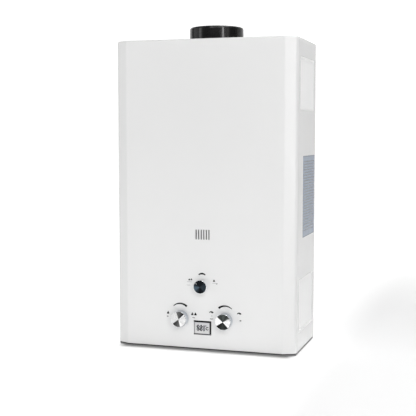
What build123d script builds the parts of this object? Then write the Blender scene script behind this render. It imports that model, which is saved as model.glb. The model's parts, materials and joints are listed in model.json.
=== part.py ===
from build123d import *
import os
from math import cos, hypot, pi, radians, sin

os.makedirs("parts", exist_ok=True)

# ----------------------------------------------------------------------------
# Wall-hung tankless gas water heater.
# Frame: +Z up, front faces -Y, +X to the right of someone facing the front.
# Origin: bottom centre of the whole heater.  All lengths in millimetres.
# ----------------------------------------------------------------------------

# --- overall size
WIDTH = 340.0            # across the casing
DEPTH = 180.0            # wall to knob tips
TOTAL_H = 590.0          # floor to the top of the flue collar
CASE_H = 564.0           # top of the casing
KNOB_OUT = 14.0          # knob tips in front of the casing

X_SIDE = WIDTH / 2
Y_BACK = DEPTH / 2
Y_FRONT = -DEPTH / 2 + KNOB_OUT

# --- sheet metal
SHEET = 1.2              # casing sheet
FACET_W = 22.0           # angled front edge, seen from the front
FACET_D = 10.0           # angled front edge, front to back
BEND_R = 8.0             # outer bend radius of the angled edges
EDGE_R = 3.4             # rounded top edge
SKIRT_GAP = 4.6          # cover's lower edge above the resting rim
Y_IN = Y_FRONT + SHEET   # inner face of the front sheet
X_IN = X_SIDE - SHEET    # inner face of the side sheet
Y_PLATE = Y_BACK - SHEET # front face of the back plate

# --- front controls
FRONT_X = -1.6           # centre line of the slots and the display
SLOT_N, SLOT_PITCH, SLOT_W, SLOT_L, SLOT_Z = 6, 4.85, 2.4, 18.4, 213.2
SEASON_X, SEASON_Z, SEASON_R = -3.2, 119.3, 12.6
SEASON_OUT = 11.5        # the small knob is shorter
GAS_X, WATER_X, KNOB_Z, KNOB_R = -43.1, 40.8, 58.2, 14.8
SPINDLE_R = 4.0
WIN_W, WIN_H = 33.6, 26.2                   # outside of the display bezel
WIN_X, WIN_Z = FRONT_X, 42.6
BEZEL_OUT, BEZEL_SLOPE = 2.2, 2.4

# --- side grilles
GR_Y0, GR_Y1 = -46.0, 74.0
GR_UP = (437.0, 531.0)
GR_LOW = (37.5, 133.5)
GR_SLATS = 5
GR_DROP = 3.4            # front edge of each slat behind its rear edge

# --- flue
FLUE_Y = 5.0
FLUE_R = 50.0
FLUE_ROUND = 4.0
NECK_R = 46.0

# --- base tray
TRAY_Z = 30.0            # upper face of the tray floor
TRAY_X = 155.0
TRAY_YF = -56.0

# --- combustion stack
ST_X, ST_Y0, ST_Y1 = 100.0, -45.0, 55.0
Z_BURN0, Z_BURN1 = 140.0, 190.0
Z_HX0, Z_HX1 = 300.0, 365.0
Z_HOOD = 450.0
BAR_N, BAR_PITCH = 10, 18.0
MAN_Y0, MAN_Y1, MAN_H = -38.0, -18.0, 20.0
TUBE_Y = [-35.0, -15.0, 5.0, 25.0, 45.0]
TUBE_Z, TUBE_R = 332.0, 7.0

# --- valves: the rod axis runs along X through both valve bodies
VAL_Y, VAL_Z = -28.0, 52.0
GAS_IN = (-55.0, -28.0)
COLD_IN = (40.0, -28.0)
HOT_OUT = (-115.0, -20.0)
DRAIN = (60.0, -2.0)
THREAD_R = 10.4          # G1/2 pipe thread, major radius
ROD_R, ROD_BORE = 3.0, 3.07

# --- wall holes in the back plate
WALL_DX, WALL_DZ, WALL_Z, WALL_R = 290.0, 350.0, 345.0, 3.5

# --- battery box
BAT_X0, BAT_X1, BAT_Y0, BAT_Y1 = 78.0, 152.0, 46.4, 86.4
BAT_TOP = 112.0
DOOR_Y, DOOR_Z = 81.8, 37.0   # door hinge line


def outline(inset, y_rear):
    """Casing plan outline, moved inwards by inset, cut off straight at y_rear."""
    n = hypot(FACET_W, FACET_D)
    nx, ny = FACET_D / n, -FACET_W / n
    c = nx * (X_SIDE - FACET_W) + ny * Y_FRONT - inset
    yf, xs = Y_FRONT + inset, X_SIDE - inset
    xa, yb = (c - ny * yf) / nx, (c - nx * xs) / ny
    return [(-xs, y_rear), (-xs, yb), (-xa, yf), (xa, yf), (xs, yb), (xs, y_rear)]


def block(x0, x1, y0, y1, z0, z1, mode=Mode.ADD):
    """Rectangular block between two corners."""
    with Locations(((x0 + x1) / 2, (y0 + y1) / 2, (z0 + z1) / 2)):
        Box(abs(x1 - x0), abs(y1 - y0), abs(z1 - z0), mode=mode)


def rod_x(r, x0, x1, y, z, mode=Mode.ADD):
    """Round bar along X."""
    with Locations(Location(((x0 + x1) / 2, y, z), (0, 90, 0))):
        Cylinder(r, abs(x1 - x0), mode=mode)


def rod_y(r, y0, y1, x, z, mode=Mode.ADD):
    """Round bar along Y."""
    with Locations(Location((x, (y0 + y1) / 2, z), (90, 0, 0))):
        Cylinder(r, abs(y1 - y0), mode=mode)


def rod_z(r, z0, z1, x, y, mode=Mode.ADD):
    """Round bar along Z."""
    with Locations((x, y, (z0 + z1) / 2)):
        Cylinder(r, abs(z1 - z0), mode=mode)


def save(builder, name):
    builder.part.label = name
    export_step(builder.part, "parts/" + name + ".step")


SCREW_BOTTOM = [(-162.0, 20.0), (162.0, 20.0)]
SCREW_TOP = [(-162.0, 5.0), (162.0, 5.0)]
SCREW_COLLAR = [(55.0 * cos(radians(a)), FLUE_Y + 55.0 * sin(radians(a))) for a in (45, 135, 225, 315)]

# ----------------------------------------------------------------------------
# Casing
# ----------------------------------------------------------------------------

# inside space of the cover, used to hollow it
with BuildPart() as cover_core:
    with BuildSketch(Plane.XY.offset(SKIRT_GAP + SHEET)) as core_plan:
        with BuildLine():
            Polyline(*outline(SHEET, Y_BACK + 20), close=True)
        make_face()
        fillet(core_plan.vertices().filter_by_position(Axis.Y, -100, 0), BEND_R - SHEET)
    extrude(amount=CASE_H - SKIRT_GAP - 2 * SHEET)
    fillet(
        cover_core.faces().sort_by(Axis.Z)[-1].edges().filter_by_position(Axis.Y, -100, Y_BACK + 10),
        EDGE_R - SHEET,
    )

with BuildPart() as front_cover:
    with BuildSketch(Plane.XY.offset(SKIRT_GAP)) as cover_plan:
        with BuildLine():
            Polyline(*outline(0, Y_BACK - 0.2), close=True)
        make_face()
        fillet(cover_plan.vertices().filter_by_position(Axis.Y, -100, 0), BEND_R)
    extrude(amount=CASE_H - SKIRT_GAP)
    fillet(
        front_cover.faces().sort_by(Axis.Z)[-1].edges().filter_by_position(Axis.Y, -100, Y_BACK - 5),
        EDGE_R,
    )
    fillet(
        front_cover.faces().sort_by(Axis.Z)[0].edges().filter_by_position(Axis.Y, -100, Y_BACK - 5),
        1.0,
    )
    add(cover_core.part, mode=Mode.SUBTRACT)
    # top and bottom keep only an inward flange
    with BuildSketch(Plane.XY.offset(CASE_H - 6)):
        with BuildLine():
            Polyline(*outline(15, Y_BACK + 20), close=True)
        make_face()
    extrude(amount=12, mode=Mode.SUBTRACT)
    with BuildSketch(Plane.XY.offset(-2)):
        with BuildLine():
            Polyline(*outline(14, Y_BACK + 20), close=True)
        make_face()
    extrude(amount=10, mode=Mode.SUBTRACT)
    # viewing slots, spindle holes and display window in the front sheet
    with BuildSketch(Plane.XZ.offset(-Y_FRONT + 2)) as front_holes:
        with Locations((FRONT_X, SLOT_Z)):
            with GridLocations(SLOT_PITCH, 1, SLOT_N, 1):
                SlotOverall(SLOT_L, SLOT_W, rotation=90)
        with Locations((SEASON_X, SEASON_Z), (GAS_X, KNOB_Z), (WATER_X, KNOB_Z)):
            Circle(5.2)
        with Locations((WIN_X, WIN_Z)):
            Rectangle(WIN_W - 1.6, WIN_H - 1.6)
    extrude(amount=-8, mode=Mode.SUBTRACT)
    # openings for the four side grilles
    for z0, z1 in (GR_UP, GR_LOW):
        block(-X_SIDE - 5, X_SIDE + 5, GR_Y0, GR_Y1, z0, z1, Mode.SUBTRACT)
    # screw holes in the flanges
    for x, y in SCREW_BOTTOM:
        rod_z(2.0, 0, 8, x, y, Mode.SUBTRACT)
    for x, y in SCREW_TOP:
        rod_z(2.0, CASE_H - 4, CASE_H + 4, x, y, Mode.SUBTRACT)
save(front_cover, "front_cover")

with BuildPart() as back_plate:
    block(-168.4, 168.4, Y_PLATE, Y_BACK, SKIRT_GAP + SHEET + 0.4, CASE_H - 1.6)
    chamfer(back_plate.edges().filter_by(Axis.Y).group_by(Axis.Z)[-1], 3.0)
    for s in (-1, 1):
        block(s * 167.2, s * 168.4, 80.0, Y_PLATE, 8.0, 558.0)
    # three pressed stiffening ribs
    for x in (-90.0, 0.0, 90.0):
        block(x - 7.2, x + 7.2, Y_PLATE - 2, Y_PLATE, 50.0, 520.0)
    for x in (-90.0, 0.0, 90.0):
        block(x - 6.0, x + 6.0, Y_PLATE - 0.8, Y_BACK + 1, 51.2, 518.8, Mode.SUBTRACT)
    # wall holes
    with BuildSketch(Plane.XZ.offset(-Y_BACK - 2)):
        with Locations((0, WALL_Z)):
            with GridLocations(WALL_DX, WALL_DZ, 2, 2):
                Circle(WALL_R)
    extrude(amount=8, mode=Mode.SUBTRACT)
save(back_plate, "back_plate")

with BuildPart() as top_panel:
    with BuildSketch(Plane.XY.offset(CASE_H - 2 * SHEET)) as top_plan:
        with BuildLine():
            Polyline(*outline(5, Y_PLATE), close=True)
        make_face()
        with Locations((0, FLUE_Y)):
            Circle(NECK_R + 0.6, mode=Mode.SUBTRACT)
        with Locations(*SCREW_COLLAR):
            Circle(1.9, mode=Mode.SUBTRACT)
        with Locations(*SCREW_TOP):
            Circle(1.9, mode=Mode.SUBTRACT)
    extrude(amount=SHEET)
save(top_panel, "top_panel")

with BuildPart() as base_tray:
    with BuildSketch() as skirt_plan:
        with Locations((0, (TRAY_YF + Y_PLATE) / 2)):
            Rectangle(2 * TRAY_X, Y_PLATE - TRAY_YF)
        fillet(skirt_plan.vertices().group_by(Axis.Y)[0], 12)
    extrude(amount=TRAY_Z)
    # hollow under the floor, leaving a resting lip at the bottom
    with BuildSketch(Plane.XY.offset(SHEET)) as bay_plan:
        with Locations((0, (TRAY_YF + Y_PLATE) / 2)):
            Rectangle(2 * (TRAY_X - SHEET), Y_PLATE - TRAY_YF - 2 * SHEET)
        fillet(bay_plan.vertices().group_by(Axis.Y)[0], 12 - SHEET)
    extrude(amount=TRAY_Z - 2 * SHEET, mode=Mode.SUBTRACT)
    with BuildSketch(Plane.XY.offset(-1)) as lip_plan:
        with Locations((0, (TRAY_YF + Y_PLATE) / 2)):
            Rectangle(2 * (TRAY_X - 10), Y_PLATE - TRAY_YF - 20)
        fillet(lip_plan.vertices().group_by(Axis.Y)[0], 4)
    extrude(amount=SHEET + 2, mode=Mode.SUBTRACT)
    # outward flange that sits on the cover's bottom flange
    with BuildSketch(Plane.XY.offset(SKIRT_GAP + SHEET)) as tray_flange:
        with BuildLine():
            Polyline(*outline(4, Y_PLATE), close=True)
        make_face()
        add(skirt_plan.sketch.moved(Location((0, 0, SKIRT_GAP + SHEET))), mode=Mode.SUBTRACT)
        with Locations(*SCREW_BOTTOM):
            Circle(1.9, mode=Mode.SUBTRACT)
    extrude(amount=SHEET)
    # holes in the floor
    for x, y, r in ((*GAS_IN, 10.0), (*COLD_IN, 10.0), (*HOT_OUT, 10.0), (*DRAIN, 6.5)):
        rod_z(r, TRAY_Z - 5, TRAY_Z + 2, x, y, Mode.SUBTRACT)
    block(BAT_X0 - 0.5, BAT_X1 + 0.5, BAT_Y0 - 0.5, BAT_Y1 + 0.5, TRAY_Z - 5, TRAY_Z + 2, Mode.SUBTRACT)
save(base_tray, "base_tray")

# rubber strip pressed under the cover's lower edge
with BuildPart() as edge_trim:
    with BuildSketch(Plane.XY.offset(0.2)):
        with BuildLine():
            Polyline(*outline(1.2, Y_BACK - 0.2), close=True)
        make_face()
        with BuildLine():
            Polyline(*outline(4.0, Y_BACK + 10), close=True)
        make_face(mode=Mode.SUBTRACT)
    extrude(amount=SKIRT_GAP - 0.2)
    fillet(edge_trim.edges().filter_by(Axis.Z).filter_by_position(Axis.Y, -100, 0), 2.0)
save(edge_trim, "edge_trim")

with BuildPart() as flue_collar:
    with BuildSketch(Plane.XZ.offset(-FLUE_Y)) as collar_profile:
        with BuildLine():
            z0, zs = CASE_H - SHEET, TOTAL_H - FLUE_ROUND
            Polyline((NECK_R + 2, z0), (60.0, z0), (60.0, z0 + 1.2), (FLUE_R, z0 + 1.2), (FLUE_R, zs))
            CenterArc((FLUE_R - FLUE_ROUND, zs), FLUE_ROUND, 0, 90)
            Line((FLUE_R - FLUE_ROUND, TOTAL_H), (FLUE_R - FLUE_ROUND, TOTAL_H - 1.5))
            CenterArc((FLUE_R - FLUE_ROUND, zs), FLUE_ROUND - 1.5, 90, -90)
            Polyline((FLUE_R - 1.5, zs), (FLUE_R - 1.5, z0 + 1.2), (NECK_R + 2, z0 + 1.2), (NECK_R + 2, z0))
        make_face()
    revolve(axis=Axis((0, FLUE_Y, 0), (0, 0, 1)))
    for x, y in SCREW_COLLAR:
        rod_z(1.9, CASE_H - 4, CASE_H + 4, x, y, Mode.SUBTRACT)
save(flue_collar, "flue_collar")

# side grilles: a flange behind the sheet, a frame flush with it, slanted slats
for side, sx in (("right", 1), ("left", -1)):
    for level, (z0, z1) in (("upper", GR_UP), ("lower", GR_LOW)):
        with BuildPart() as grille:
            block(sx * (X_IN - 2.4), sx * X_IN, GR_Y0 - 4, GR_Y1 + 4, z0 - 4, z1 + 4)
            block(sx * X_IN, sx * X_SIDE, GR_Y0 + 0.2, GR_Y1 - 0.2, z0 + 0.2, z1 - 0.2)
            block(sx * (X_SIDE - 12), sx * (X_SIDE + 2), GR_Y0 + 4, GR_Y1 - 4, z0 + 4, z1 - 4, Mode.SUBTRACT)
            pitch = (GR_Y1 - GR_Y0 - 8) / GR_SLATS
            with BuildSketch(Plane.XY.offset(z0 + 3)):
                for i in range(GR_SLATS):
                    ya = GR_Y0 + 4 + i * pitch + 0.4
                    yb = ya + pitch - 1.8
                    with BuildLine():
                        Polyline(
                            (sx * (X_SIDE - 0.2 - GR_DROP), ya), (sx * (X_SIDE - 0.2), yb),
                            (sx * (X_SIDE - 1.8), yb), (sx * (X_SIDE - 1.8 - GR_DROP), ya), close=True,
                        )
                    make_face()
            extrude(amount=z1 - z0 - 6)
        save(grille, "grille_" + side + "_" + level)

with BuildPart() as view_window:
    block(FRONT_X - 20, FRONT_X + 20, Y_IN, Y_IN + 2.0, SLOT_Z - 15, SLOT_Z + 15)
    fillet(view_window.edges().filter_by(Axis.Y), 2.0)
save(view_window, "view_window")

with BuildPart() as window_frame:
    block(FRONT_X - 28, FRONT_X + 28, Y_IN + 2.0, Y_IN + 3.0, SLOT_Z - 18, SLOT_Z + 18)
    for s in (-1, 1):
        block(FRONT_X + s * 21, FRONT_X + s * 28, Y_IN, Y_IN + 2.0, SLOT_Z - 12, SLOT_Z + 12)
    block(FRONT_X - 15, FRONT_X + 15, Y_IN, Y_IN + 6, SLOT_Z - 11, SLOT_Z + 11, Mode.SUBTRACT)
    fillet(window_frame.edges().filter_by(Axis.Y).group_by(Axis.X)[0], 1.5)
    fillet(window_frame.edges().filter_by(Axis.Y).group_by(Axis.X)[-1], 1.5)
save(window_frame, "window_frame")

# ----------------------------------------------------------------------------
# Display
# ----------------------------------------------------------------------------
LCD_W, LCD_H = WIN_W - 2 * BEZEL_SLOPE - 0.6, WIN_H - 2 * BEZEL_SLOPE - 0.6

# raised frame with four sloping sides, clipped in from the front
with BuildPart() as display_bezel:
    with BuildSketch(Plane.XZ.offset(-Y_FRONT)):
        with Locations((WIN_X, WIN_Z)):
            Rectangle(WIN_W, WIN_H)
    with BuildSketch(Plane.XZ.offset(-Y_FRONT + BEZEL_OUT)):
        with Locations((WIN_X, WIN_Z)):
            Rectangle(WIN_W - 2 * BEZEL_SLOPE, WIN_H - 2 * BEZEL_SLOPE)
    loft()
    block(WIN_X - WIN_W / 2 + 1.0, WIN_X + WIN_W / 2 - 1.0, Y_FRONT - 0.2, Y_IN + 1.8, WIN_Z - WIN_H / 2 + 1.0, WIN_Z + WIN_H / 2 - 1.0)
    for s in (-1, 1):
        block(WIN_X + s * (WIN_W / 2 - 1.5), WIN_X + s * (WIN_W / 2 + 1.5), Y_IN, Y_IN + 1.8, WIN_Z - 5, WIN_Z + 5)
    block(WIN_X - LCD_W / 2, WIN_X + LCD_W / 2, Y_FRONT - 8, Y_IN + 4, WIN_Z - LCD_H / 2, WIN_Z + LCD_H / 2, Mode.SUBTRACT)
save(display_bezel, "display_bezel")

with BuildPart() as lcd_panel:
    block(WIN_X - LCD_W / 2 + 0.1, WIN_X + LCD_W / 2 - 0.1, Y_FRONT - BEZEL_OUT + 0.2, Y_IN + 1.8, WIN_Z - LCD_H / 2 + 0.1, WIN_Z + LCD_H / 2 - 0.1)
    chamfer(lcd_panel.faces().sort_by(Axis.Y)[0].edges(), 0.2)
save(lcd_panel, "lcd_panel")

with BuildPart() as display_board:
    block(WIN_X - 22.5, WIN_X + 22.5, Y_IN + 1.8, Y_IN + 3.4, WIN_Z - 16, WIN_Z + 16)
    block(-9, 3, Y_IN + 3.4, Y_IN + 5.8, WIN_Z - 6, WIN_Z + 6)
    block(10, 19, Y_IN + 3.4, Y_IN + 9.0, WIN_Z - 14, WIN_Z - 6)
    for i in range(5):
        block(-16 + 3 * i, -14.6 + 3 * i, Y_IN + 3.4, Y_IN + 4.6, WIN_Z + 9, WIN_Z + 12)
save(display_board, "display_board")

# ----------------------------------------------------------------------------
# Knobs: body, metal face inlay and spindle.  At rest each face's pointer
# groove stands at the given angle from straight up, clockwise from the front.
# ----------------------------------------------------------------------------
KNOBS = (
    ("season", SEASON_X, SEASON_Z, SEASON_R, SEASON_OUT, -50.0, -42.2),
    ("gas", GAS_X, KNOB_Z, KNOB_R, KNOB_OUT, 60.0, -40.7),
    ("water", WATER_X, KNOB_Z, KNOB_R, KNOB_OUT, 60.0, -36.9),
)
for kname, kx, kz, kr, out, kang, y_end in KNOBS:
    y_tip = Y_FRONT - out
    with BuildPart() as knob:
        with BuildSketch(Plane((kx, 0, kz), x_dir=(1, 0, 0), z_dir=(0, 0, 1))) as knob_profile:
            with BuildLine():
                Polyline(
                    (0, Y_FRONT - 0.7), (kr - 0.3, Y_FRONT - 0.7), (kr, Y_FRONT - 1.0), (kr - 0.2, y_tip + 1.3),
                    (kr - 0.3, y_tip + 0.75), (kr - 0.5, y_tip + 0.5), (kr - 0.7, y_tip + 0.5),
                    (kr - 0.7, y_tip + 1.0), (0, y_tip + 1.0), close=True,
                )
            make_face()
        revolve(axis=Axis((kx, 0, kz), (0, 1, 0)))
        # D-shaped socket for the spindle
        with BuildSketch(Plane.XZ.offset(-Y_FRONT)):
            with Locations((kx, kz)):
                Circle(SPINDLE_R + 0.05)
            with Locations((kx, kz + SPINDLE_R + 2.95)):
                Rectangle(12, 8, mode=Mode.SUBTRACT)
        extrude(amount=out - 3.4, mode=Mode.SUBTRACT)
    save(knob, kname + "_knob")

    with BuildPart() as face:
        rod_y(kr - 0.8, y_tip, y_tip + 1.0, kx, kz)
        chamfer(face.faces().sort_by(Axis.Y)[0].edges(), 0.3)
        with BuildSketch(Plane.XZ.offset(-y_tip)):
            with Locations(Location((kx, kz, 0), (0, 0, -kang))):
                with Locations((0, kr - 3.2)):
                    Rectangle(1.1, 3.6)
        extrude(amount=-0.3, mode=Mode.SUBTRACT)
    save(face, kname + "_knob_face")

    with BuildPart() as spindle:
        rod_y(SPINDLE_R, Y_FRONT - out + 3.6, y_end, kx, kz)
        block(kx - 6, kx + 6, Y_FRONT - out, Y_FRONT - 0.2, kz + 2.9, kz + 6, Mode.SUBTRACT)
        chamfer(spindle.faces().sort_by(Axis.Y)[-1].edges(), 0.5)
    save(spindle, kname + "_spindle")

# ----------------------------------------------------------------------------
# Combustion stack
# ----------------------------------------------------------------------------
ST_YC = (ST_Y0 + ST_Y1) / 2
ST_D = ST_Y1 - ST_Y0

with BuildPart() as flue_hood:
    with BuildSketch(Plane.XY.offset(Z_HX1)):
        with Locations((0, ST_YC)):
            Rectangle(2 * ST_X, ST_D)
    with BuildSketch(Plane.XY.offset(Z_HOOD)):
        with Locations((0, ST_YC)):
            Rectangle(ST_D, ST_D)
    loft()
    with BuildSketch(Plane.XY.offset(Z_HX1)):
        with Locations((0, ST_YC)):
            Rectangle(2 * ST_X - 2.4, ST_D - 2.4)
    with BuildSketch(Plane.XY.offset(Z_HOOD - SHEET)):
        with Locations((0, ST_YC)):
            Rectangle(ST_D - 2.4, ST_D - 2.4)
    loft(mode=Mode.SUBTRACT)
    rod_z(NECK_R, Z_HOOD - 0.6, 575.0, 0, FLUE_Y)
    rod_z(NECK_R - 1.2, Z_HOOD - 6, 580.0, 0, FLUE_Y, Mode.SUBTRACT)
save(flue_hood, "flue_hood")

with BuildPart() as heat_exchanger:
    block(-ST_X, ST_X, ST_Y0, ST_Y1, Z_HX0, Z_HX1)
    block(-ST_X + SHEET, ST_X - SHEET, ST_Y0 + SHEET, ST_Y1 - SHEET, Z_HX0 - 1, Z_HX1 + 1, Mode.SUBTRACT)
    # fins across the gas path
    with Locations((0, ST_YC, (Z_HX0 + Z_HX1) / 2)):
        with GridLocations(8, 1, 24, 1):
            Box(0.8, ST_D - SHEET, 52)
    # five water tubes, joined in series by return bends
    for y in TUBE_Y:
        rod_x(TUBE_R, -ST_X - 4, ST_X + 4, y, TUBE_Z)
    rod_x(TUBE_R, ST_X + 3, ST_X + 6, TUBE_Y[0], TUBE_Z)
    rod_x(TUBE_R, -ST_X - 6, -ST_X - 3, TUBE_Y[4], TUBE_Z)
    for i, sx in ((0, -1), (1, 1), (2, -1), (3, 1)):
        with BuildLine() as bend_line:
            ThreePointArc(
                (sx * (ST_X + 4), TUBE_Y[i], TUBE_Z),
                (sx * (ST_X + 14), (TUBE_Y[i] + TUBE_Y[i + 1]) / 2, TUBE_Z),
                (sx * (ST_X + 4), TUBE_Y[i + 1], TUBE_Z),
            )
        with BuildSketch(Plane((sx * (ST_X + 4), TUBE_Y[i], TUBE_Z), x_dir=(0, 1, 0), z_dir=(sx, 0, 0))):
            Circle(TUBE_R)
        sweep(path=bend_line.line)
    for y in TUBE_Y:
        rod_x(TUBE_R - 1, -ST_X - 4, ST_X + 4, y, TUBE_Z, Mode.SUBTRACT)
    rod_x(TUBE_R - 1, ST_X + 3, ST_X + 7, TUBE_Y[0], TUBE_Z, Mode.SUBTRACT)
    rod_x(TUBE_R - 1, -ST_X - 7, -ST_X - 3, TUBE_Y[4], TUBE_Z, Mode.SUBTRACT)
save(heat_exchanger, "heat_exchanger")

ELECTRODE_X, PROBE_X, ELECTRODE_Z = 30.0, 60.0, 196.0

with BuildPart() as combustion_chamber:
    block(-ST_X, ST_X, ST_Y0, ST_Y1, Z_BURN1, Z_HX0)
    block(-ST_X + 1, ST_X - 1, ST_Y0 + 1, ST_Y1 - 1, Z_BURN1 - 1, Z_HX0 + 1, Mode.SUBTRACT)
    # opening for looking at the flames, holes for the electrodes
    block(-20, 20, ST_Y0 - 2, ST_Y0 + 3, SLOT_Z - 9, SLOT_Z + 12, Mode.SUBTRACT)
    for x in (-ELECTRODE_X, ELECTRODE_X, PROBE_X):
        rod_y(3.6, ST_Y0 - 2, ST_Y0 + 3, x, ELECTRODE_Z + 2, Mode.SUBTRACT)
save(combustion_chamber, "combustion_chamber")

with BuildPart() as coil_pipe:
    with BuildLine() as coil_line:
        FilletPolyline(
            (112, -28, 180), (112, -28, 235), (112, 65, 235), (-110, 65, 243), (-110, -55, 251),
            (127, -55, 264), (127, -55, TUBE_Z), (127, TUBE_Y[0], TUBE_Z), (ST_X + 6, TUBE_Y[0], TUBE_Z),
            radius=[16, 12, 12, 12, 14, 9.5, 9.5],
        )
    with BuildSketch(Plane((112, -28, 180), x_dir=(1, 0, 0), z_dir=(0, 0, 1))):
        Circle(TUBE_R)
        Circle(TUBE_R - 1, mode=Mode.SUBTRACT)
    sweep(path=coil_line.line)
save(coil_pipe, "coil_pipe")

BAR_X = [(i - (BAR_N - 1) / 2) * BAR_PITCH for i in range(BAR_N)]
MAN_Z = SEASON_Z

# one burner: mixing tube below, flame ports across the top
with BuildPart() as burner_bar:
    block(-6, 6, ST_Y0 + 4, ST_Y1 - 4, 148, 186)
    block(-4, 4, 26, 44, MAN_Z, 148.5)
    rod_y(7.5, -6, 44, 0, MAN_Z)
    block(-5, 5, ST_Y0 + 5, ST_Y1 - 5, 149, 185, Mode.SUBTRACT)
    block(-3, 3, 27, 43, MAN_Z, 150, Mode.SUBTRACT)
    rod_y(6.0, -7, 43, 0, MAN_Z, Mode.SUBTRACT)
    with Locations((0, ST_YC, 184)):
        with GridLocations(1, 9, 1, 10):
            Box(9, 1.2, 10, mode=Mode.SUBTRACT)

with BuildPart() as burner_bars:
    with Locations(*[(x, 0, 0) for x in BAR_X]):
        add(burner_bar.part)
save(burner_bars, "burner_bars")

with BuildPart() as burner_frame:
    block(-ST_X, ST_X, ST_Y0, ST_Y1, Z_BURN0, Z_BURN1)
    block(-ST_X + 1.5, ST_X - 1.5, ST_Y0 + 1.5, ST_Y1 - 1.5, Z_BURN0 - 1, Z_BURN1 + 1, Mode.SUBTRACT)
    block(-ST_X + 1, ST_X - 1, ST_Y0 + 1, ST_Y0 + 6.5, 144, 148)
    block(-ST_X + 1, ST_X - 1, ST_Y1 - 6.5, ST_Y1 - 1, 144, 148)
save(burner_frame, "burner_frame")

with BuildPart() as gas_manifold:
    block(-95, 95, MAN_Y0, MAN_Y1, MAN_Z - MAN_H / 2, MAN_Z + MAN_H / 2)
    for s in (-1, 1):
        block(s * 95, s * 98.5, MAN_Y0, MAN_Y1, MAN_Z - 6, 160)
    block(-93, 93, MAN_Y0 + 2, MAN_Y1 - 2, MAN_Z - 8, MAN_Z + 8, Mode.SUBTRACT)
    for x in BAR_X:
        rod_y(2.6, MAN_Y1 - 4, MAN_Y1 + 2, x, MAN_Z, Mode.SUBTRACT)
    rod_z(6.0, MAN_Z - 12, MAN_Z - 6, -40, VAL_Y, Mode.SUBTRACT)
    rod_y(5.0, MAN_Y0 - 2, MAN_Y0 + 4, SEASON_X, MAN_Z, Mode.SUBTRACT)
save(gas_manifold, "gas_manifold")

with BuildPart() as burner_nozzles:
    for x in BAR_X:
        rod_y(2.5, MAN_Y1 - 2, MAN_Y1 + 1, x, MAN_Z)
        with BuildSketch(Plane.XZ.offset(-MAN_Y1)):
            with Locations((x, MAN_Z)):
                RegularPolygon(4.4, 6)
        extrude(amount=-4)
        rod_y(2.9, MAN_Y1 + 3, MAN_Y1 + 9, x, MAN_Z)
        rod_y(0.6, MAN_Y1 - 4, MAN_Y1 + 10, x, MAN_Z, Mode.SUBTRACT)
save(burner_nozzles, "burner_nozzles")

with BuildPart() as season_valve:
    block(-12, 12, -50, MAN_Y0, MAN_Z - 12, MAN_Z + 12)
    fillet(season_valve.edges().filter_by(Axis.Y), 4)
    rod_y(8.0, -56, -49, SEASON_X, SEASON_Z)
    rod_y(SPINDLE_R + 0.07, -57, -41.6, SEASON_X, SEASON_Z, Mode.SUBTRACT)
save(season_valve, "season_valve")

with BuildPart() as ignition_electrodes:
    for x in (-ELECTRODE_X, ELECTRODE_X):
        rod_y(3.5, -57, -38, x, ELECTRODE_Z + 2)
        rod_y(5.5, ST_Y0 - 4, ST_Y0, x, ELECTRODE_Z + 2)
        rod_y(0.9, -39, -20, x, ELECTRODE_Z + 2)
        rod_y(1.2, -62, -56, x, ELECTRODE_Z + 2)
save(ignition_electrodes, "ignition_electrodes")

with BuildPart() as flame_probe:
    rod_y(3.5, -57, -38, PROBE_X, ELECTRODE_Z + 2)
    rod_y(5.5, ST_Y0 - 4, ST_Y0, PROBE_X, ELECTRODE_Z + 2)
    rod_y(1.1, -39, 5, PROBE_X, ELECTRODE_Z + 2)
    rod_y(1.2, -62, -56, PROBE_X, ELECTRODE_Z + 2)
save(flame_probe, "flame_probe")

with BuildPart() as frame_brackets:
    for x in (-60.0, 60.0):
        block(x - 15, x + 15, ST_Y1, Y_PLATE, 150, 175)
        block(x - 16, x + 16, ST_Y1 + 1.5, Y_PLATE - 1.5, 151.5, 176, Mode.SUBTRACT)
    for x in (-35.0, 35.0):
        block(x - 15, x + 15, ST_Y1, Y_PLATE, 385, 410)
        block(x - 16, x + 16, ST_Y1 + 1.5, Y_PLATE - 1.5, 386.5, 411, Mode.SUBTRACT)
save(frame_brackets, "frame_brackets")

# ----------------------------------------------------------------------------
# Gas side
# ----------------------------------------------------------------------------
GX0, GX1 = -66.0, -20.0

with BuildPart() as gas_valve_body:
    block(GX0, GX1, -46, -8, 34, 72)
    fillet(gas_valve_body.edges().filter_by(Axis.Y), 5)
    rod_z(13, TRAY_Z, 35, *GAS_IN)
    rod_y(9, -54, -45, GAS_X, KNOB_Z)
    rod_x(7, GX1 - 1, -12, VAL_Y, VAL_Z)
    block(GX1 - 4, 2.5, -24, -21, 60, 84)
    # gas chamber, seat port, outlet, inlet, rod bore and spindle bore
    rod_x(11, GX0 - 1, -43, VAL_Y, VAL_Z, Mode.SUBTRACT)
    rod_x(6, -44, -35, VAL_Y, VAL_Z, Mode.SUBTRACT)
    rod_z(4.5, VAL_Z, 74, -39.5, VAL_Y, Mode.SUBTRACT)
    rod_z(8.1, TRAY_Z - 1, 46, *GAS_IN, Mode.SUBTRACT)
    rod_x(ROD_BORE, -36, -11, VAL_Y, VAL_Z, Mode.SUBTRACT)
    rod_y(SPINDLE_R + 0.07, -55, -40.2, GAS_X, KNOB_Z, Mode.SUBTRACT)
save(gas_valve_body, "gas_valve_body")

with BuildPart() as solenoid_valve:
    block(-69, GX0, VAL_Y - 16, VAL_Y + 16, VAL_Z - 16, VAL_Z + 16)
    rod_x(13, -95, -68, VAL_Y, VAL_Z)
    block(-93, -74, VAL_Y - 15, VAL_Y + 15, VAL_Z - 15, VAL_Z + 15)
    rod_x(4, -100, -94, VAL_Y, VAL_Z)
    fillet(solenoid_valve.edges().filter_by(Axis.X), 2)
save(solenoid_valve, "solenoid_valve")

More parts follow.
